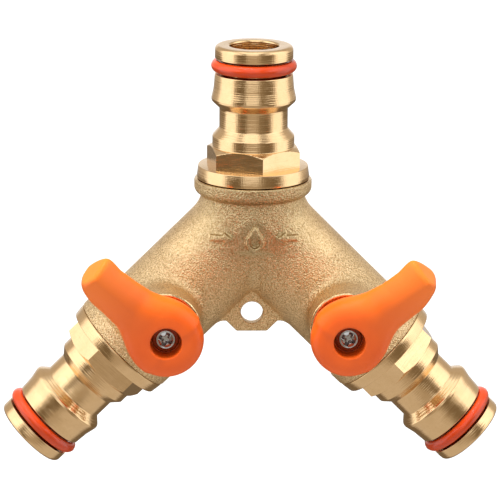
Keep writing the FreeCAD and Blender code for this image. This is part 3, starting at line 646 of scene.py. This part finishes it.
def ports():
    """A nipple and an O-ring on each port, with each hexagon at its own turn."""
    nipples = {gap: nipple_mesh(gap) for gap in (INLET_GAP, LEG_GAP)}
    oring = oring_mesh()
    layout = {
        # hose axis, its joint face, the hexagon's turn in degrees, the gap under the flange
        "inlet": (Vector((0, 0, 1)), INLET_JOINT, -9, INLET_GAP),
        "left_outlet": (LEG_WAYS["left"], LEG_JOINT, -26, LEG_GAP),
        "right_outlet": (LEG_WAYS["right"], LEG_JOINT, 3, LEG_GAP),
    }
    for word, (axis, joint, turn, gap) in layout.items():
        place = port_matrix(axis, joint, turn)
        add_piece(nipples[gap], f"{word}_turned_nipple", place, "root", "turned_brass", f"{word}_nipple")
        ring_place = place @ Matrix.Translation((0, 0, (GROOVE_LOW + GROOVE_HIGH) / 2))
        add_piece(oring, f"{word}_red_oring", ring_place, "root", "hose_oring", f"{word}_hose_oring")


# ---------------------------------------------------------------- materials

class Shader:
    """A material's nodes, with short calls to add and link them."""

    def __init__(self, name, **constants):
        self.material = bpy.data.materials.new(name)
        self.material.use_nodes = True
        self.nodes = self.material.node_tree.nodes
        self.links = self.material.node_tree.links
        self.shader = self.nodes["Principled BSDF"]
        for socket, value in constants.items():
            self.shader.inputs[socket.replace("_", " ")].default_value = value
        self.place = self.nodes.new("ShaderNodeTexCoord").outputs["Object"]

    def node(self, kind, inputs=None, **settings):
        node = self.nodes.new(kind)
        for key, value in settings.items():
            setattr(node, key, value)
        for socket, value in (inputs or {}).items():
            if isinstance(value, bpy.types.NodeSocket):
                self.links.new(value, node.inputs[socket])
            else:
                node.inputs[socket].default_value = value
        return node

    def stretched(self, scale):
        return self.node("ShaderNodeMapping", {"Vector": self.place, "Scale": scale}).outputs["Vector"]

    def noise(self, scale, detail=4.0, rough=0.6, stretch=None):
        vector = self.stretched(stretch) if stretch else self.place
        inputs = {"Vector": vector, "Scale": scale, "Detail": detail, "Roughness": rough}
        return self.node("ShaderNodeTexNoise", inputs).outputs["Fac"]

    def ramp(self, factor, stops):
        node = self.node("ShaderNodeValToRGB", {"Fac": factor})
        elements = node.color_ramp.elements
        while len(elements) < len(stops):
            elements.new(0.5)
        for element, (position, colour) in zip(elements, stops):
            element.position = position
            element.color = colour if len(colour) == 4 else (*colour, 1)
        return node.outputs["Color"]

    def mottled(self, factor, low, high):
        """Wanders between two colours as a noise does."""
        return self.ramp(factor, [(0.3, low), (0.7, high)])

    def wave(self, scale, distortion, detail, **settings):
        inputs = {"Vector": self.place, "Scale": scale, "Distortion": distortion, "Detail": detail}
        return self.node("ShaderNodeTexWave", inputs, **settings).outputs["Fac"]

    def coordinate(self, axis):
        return self.node("ShaderNodeSeparateXYZ", {"Vector": self.place}).outputs[axis]

    def maths(self, operation, *values):
        return self.node("ShaderNodeMath", dict(enumerate(values)), operation=operation).outputs[0]

    def step(self, value, low, high):
        """Zero below low, one above high; the other way round if high is the lower of the two."""
        inputs = {"Value": value, "From Min": low, "From Max": high}
        return self.node("ShaderNodeMapRange", inputs).outputs["Result"]

    def mix(self, factor, first, second, blend="MIX"):
        node = self.node("ShaderNodeMix", data_type="RGBA", blend_type=blend)
        by_name = {socket.identifier: socket for socket in node.inputs}
        self.links.new(factor, by_name["Factor_Float"])
        self.links.new(first, by_name["A_Color"])
        by_name["B_Color"].default_value = second
        return next(socket for socket in node.outputs if socket.identifier == "Result_Color")

    def bump(self, height, distance, strength=1.0, under=None):
        """Relief of a height field; the distance is in millimetres."""
        inputs = {"Height": height, "Distance": distance * MM, "Strength": strength}
        if under:
            inputs["Normal"] = under
        return self.node("ShaderNodeBump", inputs).outputs["Normal"]

    def drive(self, socket, value):
        self.links.new(value, self.shader.inputs[socket])


PAINTED_SHADE_MIDDLE = (0, -14, 4)             # painted shade: the casting's colour is darkened round this place in front of its middle
PAINTED_SHADE_TINT = (0.68, 0.71, 0.70, 1)
# colour of the painted shade in the fine gap under a nipple's flange
GAP_SHADE_COLOUR = (0.02, 0.012, 0.006, 1)


def grey(value):
    return (value, value, value)


def machined_share(m):
    """One on the faces that are machined after casting: the boss faces and the inlet's joint face."""
    boss = m.step(m.coordinate("Y"), -BOSS_FACE + 0.6, -BOSS_FACE + 0.5)
    joint = m.step(m.coordinate("Z"), INLET_JOINT - 0.2, INLET_JOINT - 0.1)
    return m.maths("MAXIMUM", boss, joint)


def cast_brass():
    """Sand-cast, blasted brass: a sparkling grain, calmer round the signs, smooth where it is machined, with
    painted shade darkening the front of its middle.
    """
    m = Shader("cast_brass", Metallic=1.0)
    grain = m.noise(3.2, 1.0, 0.5)
    lumps = m.noise(0.9, 3.0, 0.5)
    cloud = m.noise(0.12, 3.0, 0.55)
    machined = machined_share(m)
    pit, skin, peak = (0.54, 0.355, 0.165), (0.78, 0.55, 0.29), (0.97, 0.74, 0.44)
    metal = m.ramp(grain, [(0.3, pit), (0.5, skin), (0.7, peak)])
    # Painted shade: the colour is multiplied darker round the front middle, where the body reflects the dim room
    # in front of it.
    inputs = {0: m.place, 1: PAINTED_SHADE_MIDDLE}
    away = m.node("ShaderNodeVectorMath", inputs, operation="DISTANCE").outputs["Value"]
    m.drive("Base Color", m.mix(m.step(away, 18.0, 8.0), metal, PAINTED_SHADE_TINT, "MULTIPLY"))
    m.drive("Roughness", m.mix(machined, m.mottled(cloud, grey(0.33), grey(0.42)), (*grey(0.2), 1)))
    from_signs = m.maths("ABSOLUTE", m.maths("ADD", m.coordinate("Z"), -SIGN_LINE))
    still = m.maths("MULTIPLY", m.step(from_signs, 4.5, 3.0), 0.45)
    grain_share = m.maths("SUBTRACT", 1.0, m.maths("MAXIMUM", machined, still))
    fine = m.bump(grain, 0.3, 1.0, m.bump(lumps, 0.12, 0.5))
    m.links.new(grain_share, fine.node.inputs["Strength"])
    m.drive("Normal", fine)
    return m.material


def turned_brass(paints_gap_shade=True):
    """Bright turned brass: rings from the tool, faint chatter along the axis and a few handling marks.

    The first argument, when true, paints shade into the fine gap that a nipple's flange leaves over the casting."""
    m = Shader("turned_brass", Metallic=1.0)
    bands = m.noise(1.7, 4.0, 0.75, (0.02, 0.02, 1))
    fine_bands = m.noise(5.0, 2.0, 0.6, (0.03, 0.03, 1))
    face_rings = m.wave(0.9, 1.0, 2.0, wave_type="RINGS", rings_direction="Z")
    chatter = m.noise(4.0, 2.0, 0.5, (1, 1, 0.1))
    metal = m.mottled(m.noise(0.5, 5.0, 0.7), (0.79, 0.54, 0.28), (0.86, 0.60, 0.33))
    up = m.coordinate("Z")
    inputs = {0: m.stretched((1, 1, 0))}
    radial = m.node("ShaderNodeVectorMath", inputs, operation="LENGTH").outputs["Value"]
    # Painted shade: the gap under the flange is darkened in the colour and made matt.
    in_gap = m.maths("MULTIPLY", m.step(radial, FLANGE_R - 0.08, FLANGE_R - 0.18), m.step(up, 0.45, 0.4))
    gap_shade_share = m.maths("MULTIPLY", in_gap, float(paints_gap_shade))
    m.drive("Base Color", m.mix(gap_shade_share, metal, GAP_SHADE_COLOUR))
    m.drive("Roughness", m.mix(gap_shade_share, m.mottled(fine_bands, grey(0.08), grey(0.19)), (*grey(0.8), 1)))
    round_share = m.step(up, HEX_TOP, HEX_TOP + 0.1)
    tool_lines = m.wave(0.72, 0.7, 1.0, wave_type="BANDS", bands_direction="Z")
    lines = m.bump(tool_lines, 0.011, 1.0, m.bump(bands, 0.06, 0.8))
    m.links.new(round_share, lines.node.inputs["Strength"])
    scored = m.bump(fine_bands, 0.03, 0.8, lines)
    faced = m.bump(face_rings, 0.006, 0.5, scored)
    m.drive("Normal", m.bump(chatter, 0.02, 0.7, faced))
    return m.material


def orange_plastic():
    """Satin moulded plastic with a very fine skin, and a painted highlight that makes it a little paler towards
    the arm's tip.
    """
    m = Shader("orange_plastic", Specular_IOR_Level=0.34)
    skin = m.noise(4.5, 3.0, 0.6)
    dyed = m.mottled(m.noise(0.2, 3.0, 0.5), (0.58, 0.074, 0.002), (0.62, 0.084, 0.003))
    # Painted highlight: the colour pales along the arm towards its tip, where light falls on it.
    m.drive("Base Color", m.mix(m.step(m.coordinate("X"), 3.0, 19.0), dyed, (0.68, 0.135, 0.010, 1)))
    m.drive("Roughness", m.mottled(m.noise(0.8, 4.0, 0.6), grey(0.34), grey(0.44)))
    m.drive("Normal", m.bump(skin, 0.012, 0.35))
    return m.material


def hose_oring_rubber():
    """Red-orange silicone."""
    m = Shader("hose_oring_rubber", Specular_IOR_Level=0.5)
    m.drive("Base Color", m.mottled(m.noise(0.4, 3.0, 0.5), (0.40, 0.030, 0.002), (0.44, 0.036, 0.003)))
    m.drive("Roughness", m.mottled(m.noise(0.6, 3.0, 0.5), grey(0.15), grey(0.24)))
    m.drive("Normal", m.bump(m.noise(0.4, 1.0, 0.5), 0.01, 0.2))
    return m.material


def screw_steel():
    """Bright nickel plate with faint brushing."""
    m = Shader("screw_steel", Metallic=1.0)
    m.drive("Base Color", m.mottled(m.noise(2.0, 3.0, 0.5), grey(0.40), grey(0.55)))
    m.drive("Roughness", m.mottled(m.noise(4.0, 4.0, 0.6), grey(0.10), grey(0.22)))
    m.drive("Normal", m.bump(m.noise(4.0, 3.0, 0.6), 0.02, 0.4))
    return m.material


def in_metres(make, name):
    """A material for CAD nodes, whose object coordinates are in metres."""
    material = make()
    material.name = name
    for node in material.node_tree.nodes:
        if node.type in ("TEX_NOISE", "TEX_WAVE"):
            node.inputs["Scale"].default_value /= MM
    return material


def black_rubber():
    """Stem O-rings and flange seals."""
    m = Shader("black_rubber")
    m.drive("Base Color", m.mottled(m.noise(1.0, 3.0, 0.5), grey(0.018), grey(0.035)))
    m.drive("Roughness", m.mottled(m.noise(2.0, 3.0, 0.5), grey(0.55), grey(0.70)))
    m.drive("Normal", m.bump(m.noise(6.0, 2.0, 0.5), 0.01, 0.4))
    return m.material


def ptfe():
    """Seats and thrust washers."""
    m = Shader("ptfe")
    m.drive("Base Color", m.mottled(m.noise(0.6, 3.0, 0.5), (0.78, 0.78, 0.75), (0.86, 0.86, 0.84)))
    m.drive("Roughness", m.mottled(m.noise(2.0, 3.0, 0.5), grey(0.42), grey(0.55)))
    m.drive("Normal", m.bump(m.noise(4.0, 2.0, 0.5), 0.01, 0.3))
    return m.material


def ball_chrome():
    """Polished chrome on the balls."""
    m = Shader("ball_chrome", Metallic=1.0)
    m.drive("Base Color", m.mottled(m.noise(0.5, 3.0, 0.5), grey(0.74), grey(0.82)))
    m.drive("Roughness", m.mottled(m.noise(1.0, 4.0, 0.6), grey(0.06), grey(0.14)))
    m.drive("Normal", m.bump(m.noise(1.5, 2.0, 0.5), 0.004, 0.2))
    return m.material


MATERIALS = {
    "cast_brass": cast_brass(),
    "turned_brass": turned_brass(),
    "orange_plastic": orange_plastic(),
    "hose_oring": hose_oring_rubber(),
    "screw_steel": screw_steel(),
}
NODE_MATERIALS = {
    "stem_brass": in_metres(functools.partial(turned_brass, False), "stem_brass"),
    "black_rubber": in_metres(black_rubber, "black_rubber"),
    "ptfe": in_metres(ptfe, "ptfe"),
    "chromed_ball": in_metres(ball_chrome, "chromed_ball"),
}


def add_piece(mesh, name, place, body, slot, *nodes):
    """Put a mesh in the scene for the CAD nodes that it stands for."""
    if not mesh.materials:
        mesh.materials.append(MATERIALS[slot])
    piece = bpy.data.objects.new(name, mesh)
    bpy.context.scene.collection.objects.link(piece)
    piece.matrix_world = place
    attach(piece, body)
    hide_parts(*nodes)
    return piece


def dress_nodes():
    """Give every CAD node that stays its own material."""
    slots = {entry["node"]: entry["material_slot"] for entry in frame["record"]["subparts"]}
    for name, node in frame["nodes"].items():
        material = NODE_MATERIALS.get(slots[name])
        if material:
            node.data.materials.clear()
            node.data.materials.append(material)


# ---------------------------------------------------------------- stage

FLOOR_BELOW = 0.0002
FLOOR_FRONT = -1.2
FLOOR_BACK = 1.4
SWEEP_R = 0.5
WALL_TOP = 2.5
HALF_WIDE = 3.0
PAPER_GREY = 0.12
PAPER_GLOW = 0.9


def studio():
    """Pale paper: a floor that curves up into a backdrop."""
    floor_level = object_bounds()[0][2] - FLOOR_BELOW
    outline = [(FLOOR_FRONT, 0)]
    for step in range(13):
        angle = math.radians(90 * step / 12)
        outline.append((FLOOR_BACK + SWEEP_R * math.sin(angle), SWEEP_R * (1 - math.cos(angle))))
    outline.append((FLOOR_BACK + SWEEP_R, WALL_TOP))
    build = bmesh.new()
    previous = None
    for depth, rise in outline:
        pair = [build.verts.new((across, depth, floor_level + rise)) for across in (-HALF_WIDE, HALF_WIDE)]
        if previous:
            build.faces.new((previous[0], previous[1], pair[1], pair[0]))
        previous = pair
    mesh = bpy.data.meshes.new("backdrop")
    build.to_mesh(mesh)
    build.free()
    mesh.shade_smooth()
    backdrop = bpy.data.objects.new("backdrop", mesh)
    bpy.context.scene.collection.objects.link(backdrop)
    paper = bpy.data.materials.new("paper")
    paper.use_nodes = True
    sockets = paper.node_tree.nodes["Principled BSDF"].inputs
    sockets["Base Color"].default_value = (*grey(PAPER_GREY), 1)
    sockets["Roughness"].default_value = 0.9
    sockets["Emission Color"].default_value = (1, 1, 1, 1)
    sockets["Emission Strength"].default_value = PAPER_GLOW
    mesh.materials.append(paper)
    backdrop.visible_glossy = False


WARM_SHADE = (1.0, 0.78, 0.52)
LOW_RING = [
    # degrees from the front, brightness: tall soft boxes at the sides, a dim room in front of the part
    (-180, 1.0), (-167, 0.95), (-150, 0.55), (-122, 0.65), (-108, 1.5), (-67, 1.55), (-57, 0.45),
    (-46, 0.2), (-32, 0.2), (8, 0.34), (30, 0.24), (48, 0.2), (57, 0.45), (68, 1.5), (106, 1.45),
    (122, 0.65), (150, 0.55), (167, 0.95), (180, 1.0),
]
MIDDLE_RING = [
    (-180, 0.6), (-124, 0.6), (-108, 1.6), (-46, 2.1), (-38, 1.0), (-28, 0.35), (20, 0.3),
    (34, 0.8), (43, 2.0), (106, 1.6), (124, 0.6), (180, 0.6),
]
HIGH_RING = [
    (-180, 0.6), (-124, 0.65), (-110, 1.45), (-72, 1.5), (-62, 0.6), (-48, 0.25), (40, 0.25),
    (58, 0.5), (68, 1.45), (106, 1.45), (124, 0.65), (180, 0.6),
]
# Heights of direction, as its upward part, between which one brightness gives way to the next.
MIDDLE_STARTS = (0.2, 0.36)
HIGH_STARTS = (0.6, 0.75)
ZENITH_STARTS = (0.75, 0.97)
FLOOR_STARTS = (-0.33, -0.6)
ZENITH_LIGHT = 0.9
FLOOR_LIGHT = 0.66
BEHIND_LIGHT = 0.2
STRIP_LEFT = (-0.45, -0.37)
STRIP_RIGHT = (0.25, 0.17)
STRIP = [
    # where the strip in front takes up each brightness: start, full, brightness
    (-0.55, -0.35, 0.5), (-0.06, 0.16, 1.1), (0.4, 0.7, 1.5),
]


def shade(brightness):
    """Colour of the surround at a brightness: neutral in the light, warm in the dark."""
    share = min(max((brightness - 0.2) / 0.7, 0), 1)
    return tuple(brightness * (warm + (1 - warm) * share) for warm in WARM_SHADE)


class Surround:
    """The world's nodes: a soft studio written as brightness by direction."""

    def __init__(self):
        world = bpy.data.worlds.new("studio_air")
        bpy.context.scene.world = world
        world.use_nodes = True
        self.nodes, self.links = world.node_tree.nodes, world.node_tree.links
        self.background = self.nodes["Background"]

    def node(self, kind, *values, **settings):
        node = self.nodes.new(kind)
        for key, value in settings.items():
            setattr(node, key, value)
        for socket, value in enumerate(values):
            if isinstance(value, bpy.types.NodeSocket):
                self.links.new(value, node.inputs[socket])
            elif value is not None:
                node.inputs[socket].default_value = value
        return node

    def maths(self, operation, *values):
        return self.node("ShaderNodeMath", *values, operation=operation).outputs[0]

    def ring(self, turn, stops):
        node = self.node("ShaderNodeValToRGB", turn)
        elements = node.color_ramp.elements
        while len(elements) < len(stops):
            elements.new(0.5)
        for element, (degrees, brightness) in zip(elements, stops):
            element.position = degrees / 360 + 0.5
            element.color = (*shade(brightness), 1)
        return node.outputs["Color"]

    def smooth(self, value, low, high):
        node = self.node("ShaderNodeMapRange", value, low, high, 0.0, 1.0, interpolation_type="SMOOTHSTEP")
        return node.outputs[0]

    def mix(self, factor, first, second):
        node = self.node("ShaderNodeMix", data_type="RGBA")
        for name, value in (("Factor_Float", factor), ("A_Color", first), ("B_Color", second)):
            socket = next(item for item in node.inputs if item.identifier == name)
            if isinstance(value, bpy.types.NodeSocket):
                self.links.new(value, socket)
            else:
                socket.default_value = value
        return next(item for item in node.outputs if item.identifier == "Result_Color")


def surround():
    """Soft boxes left and right, a strip in front, light from above, a dim floor below and behind."""
    air = Surround()
    direction = air.node("ShaderNodeTexCoord").outputs["Generated"]
    east, north, up = air.node("ShaderNodeSeparateXYZ", direction).outputs
    south = air.maths("MULTIPLY", north, -1.0)
    turn = air.maths("MULTIPLY_ADD", air.maths("ARCTAN2", east, south), 0.5 / math.pi, 0.5)
    low, middle, high = (air.ring(turn, stops) for stops in (LOW_RING, MIDDLE_RING, HIGH_RING))
    light = air.mix(air.smooth(up, *MIDDLE_STARTS), low, middle)
    light = air.mix(air.smooth(up, *HIGH_STARTS), light, high)
    light = air.mix(air.smooth(up, *ZENITH_STARTS), light, (*shade(ZENITH_LIGHT), 1))
    light = air.mix(air.smooth(up, *FLOOR_STARTS), light, (*shade(FLOOR_LIGHT), 1))
    behind = air.maths("MULTIPLY", air.smooth(north, 0.25, 0.5), air.smooth(up, -0.08, -0.25))
    light = air.mix(behind, light, (*shade(BEHIND_LIGHT), 1))
    forward = air.smooth(air.maths("MULTIPLY_ADD", up, 0.6, south), 0.15, 0.3)
    across = air.maths("MULTIPLY", air.smooth(east, *STRIP_LEFT), air.smooth(east, *STRIP_RIGHT))
    strip = air.maths("MULTIPLY", across, forward)
    for start, full, brightness in STRIP:
        share = air.maths("MULTIPLY", strip, air.smooth(up, start, full))
        light = air.mix(share, light, (*shade(brightness), 1))
    seen = air.node("ShaderNodeLightPath").outputs["Is Camera Ray"]
    air.links.new(air.mix(seen, light, (1, 1, 1, 1)), air.background.inputs["Color"])


KEY_PLACE = Vector((-0.14, -0.03, 0.66))
KEY_POWER = 12.0


def key_light():
    """Large soft light from above, which shapes the plastic."""
    lamp = bpy.data.lights.new("key_light", "AREA")
    lamp.shape = "RECTANGLE"
    lamp.size = 0.5
    lamp.size_y = 0.3
    lamp.energy = KEY_POWER
    holder = bpy.data.objects.new("key_light", lamp)
    bpy.context.scene.collection.objects.link(holder)
    holder.visible_glossy = False
    holder.location = CROSSING + KEY_PLACE
    holder.rotation_euler = (CROSSING - holder.location).to_track_quat("-Z", "Y").to_euler()


CAMERA_AZIMUTH = -2.48
CAMERA_ELEVATION = 14.31
CAMERA_ROLL = 0.54
CAMERA_DISTANCE = 0.7477
CAMERA_LENS = 261.6
AIM_FROM_CROSSING = Vector((-0.54, -1.57, -6.25)) * MM


def camera():
    """Long lens, a little above the part and square to its front."""
    azimuth, elevation = math.radians(CAMERA_AZIMUTH), math.radians(CAMERA_ELEVATION)
    roll = math.radians(CAMERA_ROLL)
    level = Vector((math.sin(azimuth), -math.cos(azimuth), 0))
    back = level * math.cos(elevation) + Vector((0, 0, math.sin(elevation)))
    right = Vector((math.cos(azimuth), math.sin(azimuth), 0))
    up = back.cross(right)
    rolled_right = right * math.cos(roll) + up * math.sin(roll)
    rolled_up = up * math.cos(roll) - right * math.sin(roll)
    data = bpy.data.cameras.new("camera")
    data.sensor_width = 36
    data.lens = CAMERA_LENS
    data.clip_end = 20
    item = bpy.data.objects.new("camera", data)
    bpy.context.scene.collection.objects.link(item)
    turn = Matrix((rolled_right, rolled_up, back)).transposed().to_4x4()
    item.matrix_world = Matrix.Translation(CROSSING + AIM_FROM_CROSSING + back * CAMERA_DISTANCE) @ turn
    bpy.context.scene.camera = item


bpy.context.scene.view_settings.view_transform = "Standard"
valve_body()
levers()
ports()
dress_nodes()
studio()
surround()
key_light()
camera()
